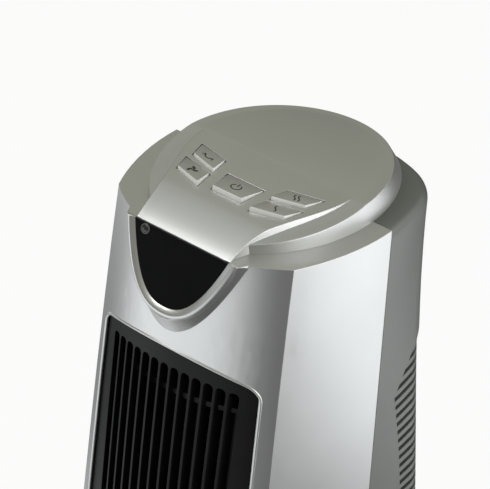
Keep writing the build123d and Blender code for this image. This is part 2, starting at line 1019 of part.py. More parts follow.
with BuildPart() as duct_lid:
    add(extrude(duct_plate_sketch(duct_top_z - duct_plate), amount=duct_plate, mode=Mode.PRIVATE))
    with BuildSketch(Plane.XY.offset(duct_top_z - duct_plate)):
        with Locations((0, fan_y)):
            Circle(bearing_radius)
    extrude(amount=duct_plate, mode=Mode.SUBTRACT)
duct_lid.part.label = "duct_lid"
export_step(duct_lid.part, "parts/duct_lid.step")

with BuildPart() as fan_bearing:
    with BuildSketch(Plane.XY.offset(duct_top_z - duct_plate)):
        with Locations((0, fan_y)):
            Circle(bearing_radius)
            Circle(shaft_radius + bore_gap, mode=Mode.SUBTRACT)
    extrude(amount=bearing_high)
fan_bearing.part.label = "fan_bearing"
export_step(fan_bearing.part, "parts/fan_bearing.step")


# Cross-flow fan wheel on its shaft, and the motor below it

with BuildPart() as fan_wheel:
    with BuildSketch(Plane.XY.offset(fan_foot)):
        with Locations((0, fan_y)):
            with PolarLocations(fan_radius - blade_deep / 2 - blade_thick, blade_count):
                with BuildLine():
                    ThreePointArc((-blade_deep / 2, -blade_bow), (0, blade_bow), (blade_deep / 2, -blade_bow))
                trace(line_width=blade_thick)
    extrude(amount=fan_top - fan_foot)
    for index in range(fan_disc_count):
        disc_z = fan_foot + (fan_top - fan_foot - disc_thick) * index / (fan_disc_count - 1)
        with BuildSketch(Plane.XY.offset(disc_z)):
            with Locations((0, fan_y)):
                Circle(fan_radius)
                if 0 < index < fan_disc_count - 1:
                    Circle(fan_radius - blade_deep - blade_thick, mode=Mode.SUBTRACT)
        extrude(amount=disc_thick)
    with BuildSketch(Plane.XY.offset(fan_foot)):
        with Locations((0, fan_y)):
            Circle(shaft_radius)
    extrude(amount=fan_top - fan_foot, mode=Mode.SUBTRACT)
fan_wheel.part.label = "fan_wheel"
export_step(fan_wheel.part, "parts/fan_wheel.step")

with BuildPart() as fan_shaft:
    with BuildSketch(Plane.XY.offset(motor_foot + wall)):
        with Locations((0, fan_y)):
            Circle(shaft_radius)
    extrude(amount=shaft_top - motor_foot - wall)
fan_shaft.part.label = "fan_shaft"
export_step(fan_shaft.part, "parts/fan_shaft.step")

motor_top = duct_foot - bracket_thick

with BuildPart() as fan_motor:
    with BuildSketch(Plane.XY.offset(motor_foot)):
        with Locations((0, fan_y)):
            Circle(motor_radius)
    extrude(amount=motor_top - motor_foot)
    fillet(fan_motor.edges().filter_by(GeomType.CIRCLE).sort_by(Axis.Z)[0], wall)
    with BuildSketch(Plane.XY.offset(motor_foot + wall)):
        with Locations((0, fan_y)):
            Circle(shaft_radius + bore_gap)
    extrude(amount=motor_top - motor_foot, mode=Mode.SUBTRACT)
fan_motor.part.label = "fan_motor"
export_step(fan_motor.part, "parts/fan_motor.step")

with BuildPart() as motor_bracket:
    with BuildSketch(Plane.XY.offset(motor_top)):
        with Locations((0, fan_y)):
            RectangleRounded(bracket_half + bracket_half, bracket_half + bracket_half, duct_round)
            Circle(shaft_radius + fit_gap, mode=Mode.SUBTRACT)
    extrude(amount=bracket_thick)
motor_bracket.part.label = "motor_bracket"
export_step(motor_bracket.part, "parts/motor_bracket.step")


# Tower floor: turns on the hub of the base and carries the duct on four posts

drive_x = gear_module * (ring_teeth + pinion_teeth) / 2 * cos(radians(drive_angle))
drive_y = gear_module * (ring_teeth + pinion_teeth) / 2 * sin(radians(drive_angle))
drive_ears = tuple(
    (
        drive_x + side * drive_ear_reach * cos(radians(drive_angle + 90)),
        drive_y + side * drive_ear_reach * sin(radians(drive_angle + 90)),
    )
    for side in (-1, 1)
)
collar_top = floor_top + collar_high
with BuildPart() as tower_floor:
    with BuildSketch(Plane.XY.offset(tower_z)):
        Rectangle(side_reach + side_reach, rear_reach + rear_reach)
    extrude(amount=floor_thick)
    add(panel_flange, mode=Mode.INTERSECT)
    with BuildSketch(Plane.XY.offset(tower_z)):
        Circle(hub_radius + collar_wall)
    extrude(amount=floor_thick + collar_high)
    with BuildSketch(Plane.XY.offset(tower_z)):
        with Locations(*duct_posts):
            Circle(post_radius)
    extrude(amount=duct_foot - tower_z)
    with BuildSketch(Plane.XY.offset(tower_z)):
        with Locations(*drive_ears):
            Circle(drive_post_radius)
    extrude(amount=drive_z - tower_z)
    with BuildSketch(Plane.XY.offset(tower_z)):
        Circle(hub_radius + bore_gap)
        with Locations(*floor_bosses_front, *floor_bosses_back):
            Circle(screw_radius)
    extrude(amount=floor_thick + collar_high, mode=Mode.SUBTRACT)
tower_floor.part.label = "tower_floor"
export_step(tower_floor.part, "parts/tower_floor.step")


# Round base: cover with its hub, plate, ballast and feet

with BuildPart() as base_cover:
    with BuildSketch(Plane.XZ):
        with BuildLine():
            slope_mid = ((base_radius + base_flat_radius) / 2, (base_edge_z + base_top_z) / 2 + base_bow)
            Polyline(
                (base_radius - base_wall, foot_high),
                (base_radius, foot_high),
                (base_radius, base_edge_z),
            )
            ThreePointArc((base_radius, base_edge_z), slope_mid, (base_flat_radius, base_top_z))
            Polyline(
                (base_flat_radius, base_top_z),
                (hub_radius, base_top_z),
                (hub_radius, hub_top_z),
                (hub_bore, hub_top_z),
                (hub_bore, base_top_z - base_wall),
                (base_flat_radius, base_top_z - base_wall),
            )
            ThreePointArc(
                (base_flat_radius, base_top_z - base_wall),
                (slope_mid[0] - base_wall / 2, slope_mid[1] - base_wall),
                (base_radius - base_wall, base_edge_z - base_wall),
            )
            Line((base_radius - base_wall, base_edge_z - base_wall), (base_radius - base_wall, foot_high))
        make_face()
    revolve(axis=Axis.Z)
    with BuildSketch(Plane.XY.offset(foot_high + plate_thick)):
        with PolarLocations(base_screw_circle, foot_count, start_angle=90):
            Circle(boss_radius)
    extrude(until=Until.NEXT)
    with BuildSketch(Plane.XY.offset(foot_high + plate_thick)):
        with PolarLocations(base_screw_circle, foot_count, start_angle=90):
            Circle(screw_radius)
    extrude(amount=screw_grip, mode=Mode.SUBTRACT)
    with BuildSketch(Plane.XY.offset(hub_top_z)):
        with PolarLocations((hub_radius + hub_bore) / 2, gear_screw_count):
            Circle(screw_radius)
    extrude(amount=-screw_grip, mode=Mode.SUBTRACT)
    with BuildSketch(Plane.XZ.offset(-base_radius - cut)):
        with Locations((0, gland_z)):
            Circle(gland_radius)
    extrude(amount=cut + gland_long, mode=Mode.SUBTRACT)
base_cover.part.label = "base_cover"
export_step(base_cover.part, "parts/base_cover.step")

with BuildPart() as base_plate:
    with BuildSketch(Plane.XY.offset(foot_high)):
        Circle(base_radius - base_wall - fit_gap)
    extrude(amount=plate_thick)
    with BuildSketch(Plane.XY.offset(foot_high)):
        with Locations((0, -plunger_front)):
            Circle(plunger_radius + bore_gap + guide_wall)
    extrude(amount=guide_high)
    with BuildSketch(Plane.XY.offset(foot_high)):
        with Locations((0, -plunger_front)):
            Circle(plunger_radius + bore_gap)
    extrude(amount=guide_high, mode=Mode.SUBTRACT)
    with BuildSketch(Plane.XY.offset(foot_high)):
        with PolarLocations(base_screw_circle, foot_count, start_angle=90):
            Circle(screw_radius)
    extrude(amount=plate_thick, mode=Mode.SUBTRACT)
base_plate.part.label = "base_plate"
export_step(base_plate.part, "parts/base_plate.step")

with BuildPart() as ballast:
    with BuildSketch(Plane.XY.offset(foot_high + plate_thick)):
        Circle(ballast_outer)
        Circle(ballast_inner, mode=Mode.SUBTRACT)
    extrude(amount=ballast_thick)
ballast.part.label = "ballast"
export_step(ballast.part, "parts/ballast.step")

with BuildPart() as feet:
    with BuildSketch(Plane.XY):
        with PolarLocations(foot_circle, foot_count, start_angle=90):
            Circle(foot_radius)
    extrude(amount=foot_high)
    chamfer(feet.faces().sort_by(Axis.Z)[0].edges(), fit_gap)
feet.part.label = "feet"
export_step(feet.part, "parts/feet.step")


# Cord gland at the back of the base

with BuildPart() as cord_gland:
    with BuildSketch(Plane.XZ.offset(-base_radius - gland_rim)):
        with Locations((0, gland_z)):
            Circle(gland_radius + gland_rim)
    extrude(amount=gland_rim)
    with BuildSketch(Plane.XZ.offset(-base_radius)):
        with Locations((0, gland_z)):
            Circle(gland_radius)
    extrude(amount=gland_long)
    with BuildSketch(Plane.XZ.offset(-base_radius - gland_rim)):
        with Locations((0, gland_z)):
            Circle(gland_bore)
    extrude(amount=gland_long + gland_rim, mode=Mode.SUBTRACT)
cord_gland.part.label = "cord_gland"
export_step(cord_gland.part, "parts/cord_gland.step")


# Tip-over switch: a plunger held up by the floor while the heater stands

flange_z = foot_high + guide_high + plunger_travel
switch_z = flange_z + plunger_flange_thick + bore_gap

with BuildPart() as tip_plunger:
    with BuildSketch(Plane.XY):
        with Locations((0, -plunger_front)):
            Circle(plunger_radius)
    extrude(amount=flange_z)
    with BuildSketch(Plane.XY.offset(flange_z)):
        with Locations((0, -plunger_front)):
            Circle(plunger_flange)
    extrude(amount=plunger_flange_thick)
tip_plunger.part.label = "tip_plunger"
export_step(tip_plunger.part, "parts/tip_plunger.step")

with BuildPart() as tip_switch:
    with BuildSketch(Plane.XY.offset(switch_z)):
        with Locations((0, -plunger_front)):
            Rectangle(switch_wide, switch_deep)
    extrude(amount=switch_high)
    with BuildSketch(Plane.XY.offset(foot_high + plate_thick)):
        with Locations((0, -plunger_front)):
            with GridLocations(switch_wide - base_wall, 0, 2, 1):
                Rectangle(base_wall, switch_deep)
    extrude(amount=switch_z - foot_high - plate_thick)
tip_switch.part.label = "tip_switch"
export_step(tip_switch.part, "parts/tip_switch.step")


# Swivel washers and gears

with BuildPart() as thrust_washer:
    with BuildSketch(Plane.XY.offset(base_top_z)):
        Circle(hub_radius + washer_wide)
        Circle(hub_radius + fit_gap, mode=Mode.SUBTRACT)
    extrude(amount=tower_z - base_top_z - slide_gap)
thrust_washer.part.label = "thrust_washer"
export_step(thrust_washer.part, "parts/thrust_washer.step")

with BuildPart() as retaining_washer:
    with BuildSketch(Plane.XY.offset(collar_top)):
        Circle(hub_radius + collar_wall)
        Circle(hub_radius + fit_gap, mode=Mode.SUBTRACT)
    extrude(amount=washer_thick)
retaining_washer.part.label = "retaining_washer"
export_step(retaining_washer.part, "parts/retaining_washer.step")


def involute(angle):
    return tan(angle) - angle


def tooth_half_angle(radius, pitch_radius, teeth):
    base_radius_here = pitch_radius * cos(radians(pressure_angle))
    at_radius = acos(min(1, base_radius_here / radius))
    thinning = gear_backlash / (4 * pitch_radius)
    return pi / (2 * teeth) + involute(radians(pressure_angle)) - involute(at_radius) - thinning


def gear_outline(teeth, shown, addendum_share, turn):
    pitch_radius = gear_module * teeth / 2
    tip = pitch_radius + gear_module * addendum_share
    root = pitch_radius - gear_module * dedendum_share
    foot = max(root, pitch_radius * cos(radians(pressure_angle)))
    with BuildSketch() as outline:
        Circle(root)
        with BuildLine():
            points = []
            for radius in (foot, (foot + tip) / 2, tip):
                half = tooth_half_angle(radius, pitch_radius, teeth)
                points.append((radius * cos(half), radius * sin(half)))
            low = tuple((x, -y) for x, y in points)
            keel = root - gear_module / 4
            half = tooth_half_angle(foot, pitch_radius, teeth)
            keel_point = (keel * cos(half), keel * sin(half))
            Line(keel_point, points[0])
            ThreePointArc(*points)
            ThreePointArc(points[2], (tip, 0), low[2])
            ThreePointArc(low[2], low[1], low[0])
            Polyline(low[0], (keel_point[0], -keel_point[1]), keel_point)
        tooth = make_face(mode=Mode.PRIVATE)
        for index in range(shown):
            add(tooth.rotate(Axis.Z, turn + (index - shown // 2) * 360 / teeth))
    return outline.sketch_local


with BuildPart() as swing_gear:
    with BuildSketch(Plane.XY.offset(hub_top_z)):
        add(gear_outline(ring_teeth, sector_teeth, ring_addendum_share, drive_angle))
        Circle(hub_bore, mode=Mode.SUBTRACT)
        with PolarLocations((hub_radius + hub_bore) / 2, gear_screw_count):
            Circle(screw_radius, mode=Mode.SUBTRACT)
    extrude(amount=gear_high)
swing_gear.part.label = "swing_gear"
export_step(swing_gear.part, "parts/swing_gear.step")

with BuildPart() as swing_pinion:
    half_tooth = 180 / pinion_teeth
    with BuildSketch(Plane.XY.offset(hub_top_z)):
        with Locations((drive_x, drive_y)):
            turn = drive_angle + 180 + half_tooth
            add(gear_outline(pinion_teeth, pinion_teeth, pinion_addendum_share, turn))
    extrude(amount=gear_high)
    with BuildSketch(Plane.XY.offset(hub_top_z)):
        with Locations((drive_x, drive_y)):
            Circle(pinion_shaft_radius)
    extrude(amount=drive_z + drive_high / 2 - hub_top_z)
swing_pinion.part.label = "swing_pinion"
export_step(swing_pinion.part, "parts/swing_pinion.step")

with BuildPart() as swing_motor:
    with BuildSketch(Plane.XY.offset(drive_z)):
        with Locations((drive_x, drive_y)):
            Circle(drive_radius)
    extrude(amount=drive_high)
    with BuildSketch(Plane.XY.offset(drive_z)):
        with Locations(*drive_ears):
            Circle(drive_ear_radius)
        with Locations(Location((drive_x, drive_y), drive_angle + 90)):
            Rectangle(drive_ear_reach + drive_ear_reach, drive_ear_radius + drive_ear_radius)
    extrude(amount=drive_ear_thick)
    with BuildSketch(Plane.XY.offset(drive_z)):
        with Locations((drive_x, drive_y)):
            Circle(pinion_shaft_radius + bore_gap)
    extrude(amount=drive_high / 2 + bore_gap, mode=Mode.SUBTRACT)
swing_motor.part.label = "swing_motor"
export_step(swing_motor.part, "parts/swing_motor.step")


# Screws, one node for each set of identical ones

def screw_set(places, seat_z, up, length):
    with BuildPart() as screws:
        with BuildSketch(Plane.XY.offset(seat_z)):
            with Locations(*places):
                Circle(screw_head_radius)
        extrude(amount=-screw_head_high * up)
        with BuildSketch(Plane.XY.offset(seat_z)):
            with Locations(*places):
                Circle(screw_radius)
        extrude(amount=length * up)
    return screws


def ring_places(radius, count, start):
    turns = [radians(start + 360 * index / count) for index in range(count)]
    return tuple((radius * cos(turn), radius * sin(turn)) for turn in turns)


screw_sets = {
    "cap_screws": screw_set(cap_posts, deck_z - wall, 1, screw_grip),
    "board_screws": screw_set(board_posts, board_z, 1, screw_grip),
    "floor_screws": screw_set(floor_bosses_front + floor_bosses_back, tower_z, 1, floor_thick + screw_grip),
    "base_screws": screw_set(
        ring_places(base_screw_circle, foot_count, 90), foot_high, 1, plate_thick + screw_grip
    ),
    "gear_screws": screw_set(
        ring_places((hub_radius + hub_bore) / 2, gear_screw_count, 0),
        hub_top_z + gear_high,
        -1,
        gear_high + screw_grip,
    ),
}
for screws_name, screws in screw_sets.items():
    screws.part.label = screws_name
    export_step(screws.part, f"parts/{screws_name}.step")
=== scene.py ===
import json
from math import cos, pi, radians, sin

import bmesh
import bpy
from mathutils import Matrix, Vector
from mathutils.bvhtree import BVHTree


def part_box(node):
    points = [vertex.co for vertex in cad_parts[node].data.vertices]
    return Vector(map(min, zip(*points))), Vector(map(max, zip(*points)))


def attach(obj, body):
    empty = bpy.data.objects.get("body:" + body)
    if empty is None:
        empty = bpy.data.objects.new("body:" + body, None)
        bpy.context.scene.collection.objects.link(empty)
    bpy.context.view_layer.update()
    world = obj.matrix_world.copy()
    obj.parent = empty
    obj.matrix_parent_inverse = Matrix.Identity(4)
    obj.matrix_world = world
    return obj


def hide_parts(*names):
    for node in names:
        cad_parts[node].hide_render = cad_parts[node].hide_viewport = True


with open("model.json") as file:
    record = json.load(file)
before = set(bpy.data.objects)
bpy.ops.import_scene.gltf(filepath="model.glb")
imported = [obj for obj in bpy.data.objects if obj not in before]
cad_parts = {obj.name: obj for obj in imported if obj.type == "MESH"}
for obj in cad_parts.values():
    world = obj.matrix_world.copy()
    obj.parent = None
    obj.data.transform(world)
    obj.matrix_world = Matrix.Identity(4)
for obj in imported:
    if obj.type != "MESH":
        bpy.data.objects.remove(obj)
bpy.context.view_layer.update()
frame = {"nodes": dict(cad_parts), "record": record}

MM = 0.001
scene = bpy.context.scene

# Camera at the photograph's viewing angle

CAMERA_AZIMUTH = radians(33.74)
CAMERA_ELEVATION = radians(32.88)
CAMERA_ROLL = radians(-6.39)
CAMERA_PLACE = Vector((568.3, -871.2, 1193.6)) * MM
CAMERA_LENS = 146.9


def make_camera():
    back = Vector((
        sin(CAMERA_AZIMUTH) * cos(CAMERA_ELEVATION),
        -cos(CAMERA_AZIMUTH) * cos(CAMERA_ELEVATION),
        sin(CAMERA_ELEVATION),
    ))
    level = Vector((cos(CAMERA_AZIMUTH), sin(CAMERA_AZIMUTH), 0))
    down = -back.cross(level)
    right = cos(CAMERA_ROLL) * level + sin(CAMERA_ROLL) * down
    up = sin(CAMERA_ROLL) * level - cos(CAMERA_ROLL) * down
    data = bpy.data.cameras.new("camera")
    data.lens = CAMERA_LENS
    camera = bpy.data.objects.new("camera", data)
    turn = Matrix((right, up, back)).transposed()
    camera.matrix_world = Matrix.Translation(CAMERA_PLACE) @ turn.to_4x4()
    scene.collection.objects.link(camera)
    scene.camera = camera


make_camera()


# Small helpers for node trees

def node(tree, kind, **settings):
    """A new node; in_0, in_1 and so on set its inputs by number."""
    made = tree.nodes.new(kind)
    for name, value in settings.items():
        if name.startswith("in_"):
            made.inputs[int(name.removeprefix("in_"))].default_value = value
        else:
            setattr(made, name, value)
    return made


def join(tree, start, out, end, into):
    tree.links.new(start.outputs[out], end.inputs[into])


def ramp(tree, stops):
    made = tree.nodes.new("ShaderNodeValToRGB")
    elements = made.color_ramp.elements
    while len(elements) < len(stops):
        elements.new(0.5)
    for element, (place, colour) in zip(elements, stops):
        element.position = place
        element.color = (*colour, 1)
    return made


# Materials: each drifts between two tones and has a fine grain and softened edges

DARK_PLACE = 0.3
LIGHT_PLACE = 0.7
DRIFT_DETAIL = 4.0
GRAIN_DETAIL = 3.0
GRAIN_DEPTH = 0.1 * MM
EDGE_SAMPLES = 6


def finish(name, light, dark, drift, grain, rough, relief, edge, **inputs):
    """Drift and grain are the scales of the two noises; rough holds both ends of the roughness."""
    material = bpy.data.materials.new(name)
    material.use_nodes = True
    tree = material.node_tree
    shader = tree.nodes["Principled BSDF"]
    place = node(tree, "ShaderNodeTexCoord")

    patches = node(tree, "ShaderNodeTexNoise")
    patches.inputs["Scale"].default_value = drift
    patches.inputs["Detail"].default_value = DRIFT_DETAIL
    join(tree, place, "Object", patches, "Vector")
    tones = ramp(tree, ((DARK_PLACE, dark), (LIGHT_PLACE, light)))
    join(tree, patches, "Fac", tones, "Fac")
    join(tree, tones, "Color", shader, "Base Color")

    specks = node(tree, "ShaderNodeTexNoise")
    specks.inputs["Scale"].default_value = grain
    specks.inputs["Detail"].default_value = GRAIN_DETAIL
    join(tree, place, "Object", specks, "Vector")
    spread = node(tree, "ShaderNodeMapRange")
    spread.inputs["To Min"].default_value, spread.inputs["To Max"].default_value = rough
    join(tree, specks, "Fac", spread, "Value")
    join(tree, spread, "Result", shader, "Roughness")

    bump = node(tree, "ShaderNodeBump")
    bump.inputs["Strength"].default_value = relief
    bump.inputs["Distance"].default_value = GRAIN_DEPTH
    join(tree, specks, "Fac", bump, "Height")
    soft = node(tree, "ShaderNodeBevel")
    soft.samples = EDGE_SAMPLES
    soft.inputs["Radius"].default_value = edge
    join(tree, soft, "Normal", bump, "Normal")
    join(tree, bump, "Normal", shader, "Normal")

    for socket, value in inputs.items():
        shader.inputs[socket.replace("_", " ")].default_value = value
    return material


PLASTIC_SHADE = 0.85
PLASTIC_SPREAD = 0.06
METAL_SHADE = 0.8


def plain_plastic(name, tone, rough):
    return finish(
        name,
        light=tone,
        dark=tuple(c * PLASTIC_SHADE for c in tone),
        drift=25.0,
        grain=1400.0,
        rough=(rough - PLASTIC_SPREAD, rough + PLASTIC_SPREAD),
        relief=0.1,
        edge=0.4 * MM,
    )


def plated_steel(name, tone):
    return finish(
        name,
        light=tone,
        dark=tuple(c * METAL_SHADE for c in tone),
        drift=60.0,
        grain=900.0,
        rough=(0.28, 0.42),
        relief=0.08,
        edge=0.3 * MM,
        Metallic=1.0,
    )


SILVER = finish(
    "silver_paint",
    light=(0.61, 0.613, 0.605),
    dark=(0.565, 0.568, 0.56),
    drift=9.0,
    grain=2600.0,
    rough=(0.30, 0.40),
    relief=0.05,
    edge=0.7 * MM,
    Metallic=0.92,
)
# Painted highlight: a lighter paint for the keys' walls, so that they read as brightly lit beside
# the silver tops
KEY_WALL_HIGHLIGHT = finish(
    "key_wall_painted_highlight",
    light=(0.86, 0.86, 0.85),
    dark=(0.80, 0.80, 0.79),
    drift=60.0,
    grain=2600.0,
    rough=(0.30, 0.40),
    relief=0.05,
    edge=0.3 * MM,
    Metallic=0.15,
)
DARK = finish(
    "dark_paint",
    light=(0.165, 0.173, 0.163),
    dark=(0.145, 0.152, 0.143),
    drift=12.0,
    grain=1800.0,
    rough=(0.40, 0.50),
    relief=0.12,
    edge=0.7 * MM,
    Metallic=0.55,
)
BLACK = finish(
    "black_plastic",
    light=(0.010, 0.010, 0.010),
    dark=(0.006, 0.006, 0.0065),
    drift=30.0,
    grain=1500.0,
    rough=(0.32, 0.44),
    relief=0.1,
    edge=0.4 * MM,
    Specular_IOR_Level=0.14,
)
GLASS = finish(
    "window_glass",
    light=(0.0035, 0.0035, 0.0038),
    dark=(0.0025, 0.0025, 0.003),
    drift=40.0,
    grain=400.0,
    rough=(0.03, 0.07),
    relief=0.01,
    edge=0.3 * MM,
    Specular_IOR_Level=0.3,
)
EYE = finish(
    "eye_glass",
    light=(0.035, 0.033, 0.032),
    dark=(0.02, 0.018, 0.018),
    drift=90.0,
    grain=900.0,
    rough=(0.12, 0.2),
    relief=0.02,
    edge=0.5 * MM,
)
STEEL = plated_steel("plated_steel", (0.52, 0.52, 0.5))
BRASS = plated_steel("bush_metal", (0.5, 0.36, 0.16))
# Painted shade: the heater inside is made nearly black, so that it reads dark through the grille's
# slots
HEATER_SHADE_METAL = plated_steel("heater_metal_painted_shade", (0.04, 0.038, 0.036))
CAST = plain_plastic("cast_weight", (0.12, 0.12, 0.12), 0.6)
WHITE = plain_plastic("acetal", (0.72, 0.71, 0.67), 0.4)
RUBBER = plain_plastic("rubber", (0.025, 0.025, 0.025), 0.7)
BOARD = plain_plastic("circuit_board", (0.03, 0.12, 0.05), 0.45)
INNER = plain_plastic("inner_plastic", (0.008, 0.008, 0.008), 0.6)
# Painted light: the filter is a lighter grey than a dark filter, so that the shaded gaps between
# the louvres read less dark
FILTER_LIFTED_GREY = plain_plastic("filter_mesh_painted_light", (0.16, 0.165, 0.16), 0.7)
INK = plain_plastic("ink", (0.02, 0.02, 0.02), 0.6)
RING = plain_plastic("eye_ring", (0.11, 0.11, 0.105), 0.35)

SLOT_MATERIALS = {
    "light_shell": SILVER,
    "key_plastic": SILVER,
    "dark_shell": DARK,
    "black_plastic": BLACK,
    "smoked_glass": GLASS,
    "board": BOARD,
    "display": BLACK,
    "filter": FILTER_LIFTED_GREY,
    "steel": STEEL,
    "element": HEATER_SHADE_METAL,
    "brass_bush": BRASS,
    "inner_plastic": INNER,
    "white_plastic": WHITE,
    "cast_weight": CAST,
    "rubber": RUBBER,
    "screw": STEEL,
}
# The heater's steel frame takes the same nearly black metal instead of steel, as painted shade
OWN_MATERIALS = {"ir_eye": EYE, "heater_frame": HEATER_SHADE_METAL}

SMOOTH_ANGLE = radians(28)
CREASE_ANGLE = radians(16)


def dress_nodes():
    slots = {s["node"]: s["material_slot"] for s in frame["record"]["subparts"]}
    for name, piece in frame["nodes"].items():
        material = OWN_MATERIALS.get(name, SLOT_MATERIALS[slots[name]])
        piece.data.materials.clear()
        piece.data.materials.append(material)
        if "custom_normal" in piece.data.attributes:
            piece.data.attributes.remove(piece.data.attributes["custom_normal"])
        piece.data.shade_smooth()
        piece.data.set_sharp_from_angle(angle=SMOOTH_ANGLE)


dress_nodes()


# Helpers for the scene's own pieces

MERGE_DISTANCE = 0.001 * MM


def shape_of(node_name):
    """A copy of a CAD node's mesh, to be changed without touching the node."""
    shape = bmesh.new()
    shape.from_mesh(frame["nodes"][node_name].data)
    bmesh.ops.remove_doubles(shape, verts=shape.verts, dist=MERGE_DISTANCE)
    return shape


def placed(name, shape, material, body, sharp=SMOOTH_ANGLE):
    mesh = bpy.data.meshes.new(name)
    shape.to_mesh(mesh)
    shape.free()
    mesh.materials.append(material)
    mesh.shade_smooth()
    mesh.set_sharp_from_angle(angle=sharp)
    piece = bpy.data.objects.new(name, mesh)
    scene.collection.objects.link(piece)
    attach(piece, body)
    return piece


def tube(shape, rings, closed):
    """Skin over rings of points; an open tube gets end caps."""
    made = [[shape.verts.new(point) for point in ring] for ring in rings]
    count = len(made[0])
    spans = len(made) if closed else len(made) - 1
    for start in range(spans):
        near, far = made[start], made[(start + 1) % len(made)]
        for place in range(count):
            beside = (place + 1) % count
            shape.faces.new((near[place], near[beside], far[beside], far[place]))
    if not closed:
        shape.faces.new(made[0][::-1])
        shape.faces.new(made[-1])
    bmesh.ops.recalc_face_normals(shape, faces=shape.faces)


# Key tops with rounded corners and edges and drafted walls, raised towards the front

KEY_CORNER = 1.0 * MM
KEY_EDGE = 0.35 * MM
KEY_DRAFT = 0.9 * MM
KEY_WALL_TILT = 0.8
KEY_CREST = max(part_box(name)[1].z for name in ("heat_key_far", "swing_key"))
CORNER_SEGMENTS = 4
EDGE_SEGMENTS = 3
FLAT_ANGLE = radians(1)


def highest_face(shape):
    return max(shape.faces, key=lambda face: face.calc_center_median().z)


def rounded(shape, edges, width, segments):
    bmesh.ops.bevel(
        shape,
        geom=edges,
        offset=width,
        offset_type="OFFSET",
        segments=segments,
        profile=0.5,
        affect="EDGES",
        clamp_overlap=True,
    )


def key_top(node_name):
    """Replaces a key, and gives its top's middle and normal for the sign."""
    shape = shape_of(node_name)
    bmesh.ops.dissolve_limit(
        shape, angle_limit=FLAT_ANGLE, verts=shape.verts, edges=shape.edges
    )
    top = highest_face(shape)
    front = min(corner.co.y for corner in top.verts)
    back = max(corner.co.y for corner in top.verts)
    lift = KEY_CREST - max(corner.co.z for corner in top.verts)
    middle = top.calc_center_median()
    for corner in top.verts:
        corner.co.z += lift * (back - corner.co.y) / (back - front)
        inward = Vector((middle.x - corner.co.x, middle.y - corner.co.y, 0)).normalized()
        corner.co += inward * KEY_DRAFT
    top.normal_update()
    place, normal = top.calc_center_median(), top.normal.copy()
    upright = [
        edge for corner in top.verts for edge in corner.link_edges if edge not in top.edges
    ]
    rounded(shape, upright, KEY_CORNER, CORNER_SEGMENTS)
    rounded(shape, list(highest_face(shape).edges), KEY_EDGE, EDGE_SEGMENTS)
    # Walls get the lighter paint, a painted highlight; the tops stay silver
    for face in shape.faces:
        face.material_index = int(face.normal.z < KEY_WALL_TILT)
    piece = placed(node_name + "_top", shape, SILVER, node_name)
    piece.data.materials.append(KEY_WALL_HIGHLIGHT)
    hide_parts(node_name)
    return place, normal


# Printed signs on the keys, as thin raised ink

INK_RISE = 0.06 * MM
INK_SINK = 0.2 * MM
INK_SECTION = ((1, INK_RISE), (-1, INK_RISE), (-1, -INK_SINK), (1, -INK_SINK))


def ink_sign(name, strokes, turn, place, normal, body):
    """Strokes are (width, points) in mm from the middle of the key's top."""
    shape = bmesh.new()
    for width, points in strokes:
        rings = []
        for index, (x, y) in enumerate(points):
            before, after = points[max(index - 1, 0)], points[min(index + 1, len(points) - 1)]
            way = Vector((after[0] - before[0], after[1] - before[1])).normalized()
            side = Vector((-way.y, way.x)) * width / 2
            ring = []
            for reach, rise in INK_SECTION:
                across, along = x + side.x * reach, y + side.y * reach
                u = (across * cos(turn) - along * sin(turn)) * MM
                v = (across * sin(turn) + along * cos(turn)) * MM
                level = place.z - (normal.x * u + normal.y * v) / normal.z
                ring.append((place.x + u, place.y + v, level + rise))
            rings.append(ring)
        tube(shape, rings, False)
    placed(name, shape, INK, body)


ARC_STEPS = 16
WAVE_STEPS = 12
WAVE_SWAY = 0.75
WAVE_PITCH = 0.58
WAVE_APART = 1.3
BLADE_POINTS = 5
BLADE_ROOT = 0.5
BLADE_GROWTH = 0.75
BLADE_SWEEP = 14
BLADE_WIDTH = 1.8
BLADE_STARTS = (90, 210, 330)


def arc(radius, start, end, along=0.0):
    turns = [
        radians(start + (end - start) * index / ARC_STEPS) for index in range(ARC_STEPS + 1)
    ]
    return [(radius * cos(turn), along + radius * sin(turn)) for turn in turns]


def wave(across):
    return [
        (across + WAVE_SWAY * sin(2 * pi * step / WAVE_STEPS), WAVE_PITCH * (step - WAVE_STEPS / 2))
        for step in range(WAVE_STEPS + 1)
    ]


def fan_blade(start):
    points = []
    for step in range(BLADE_POINTS):
        reach, turn = BLADE_ROOT + BLADE_GROWTH * step, radians(start + BLADE_SWEEP * step)
        points.append((reach * cos(turn), reach * sin(turn)))
    return points


# For each key: the turn of its sign in degrees, and the strokes
SIGN_LINE = 0.8
SIGN_TURN = 18
SIGNS = {
    "power_key": (0, ((SIGN_LINE, arc(3.3, 125, 415)), (SIGN_LINE, [(0, 0.8), (0, 4.4)]))),
    "heat_key_near": (SIGN_TURN, ((SIGN_LINE, wave(0)),)),
    "heat_key_far": (
        SIGN_TURN,
        ((SIGN_LINE, wave(-WAVE_APART)), (SIGN_LINE, wave(WAVE_APART))),
    ),
    "fan_key": (-SIGN_TURN, tuple((BLADE_WIDTH, fan_blade(start)) for start in BLADE_STARTS)),
    "swing_key": (-SIGN_TURN, (
        (SIGN_LINE, arc(4.2, 205, 335, along=2.4)),
        (SIGN_LINE, [(-4.9, -1.4), (-4.0, 0.6), (-2.2, -0.5)]),
        (SIGN_LINE, [(4.9, -1.4), (4.0, 0.6), (2.2, -0.5)]),
    )),
}

for key_name, (turn, strokes) in SIGNS.items():
    top_place, top_normal = key_top(key_name)
    ink_sign(key_name + "_sign", strokes, radians(turn), top_place, top_normal, key_name)


# Top cap: a copy whose nose runs down to the window in one arc, seen from the side as (y, z)

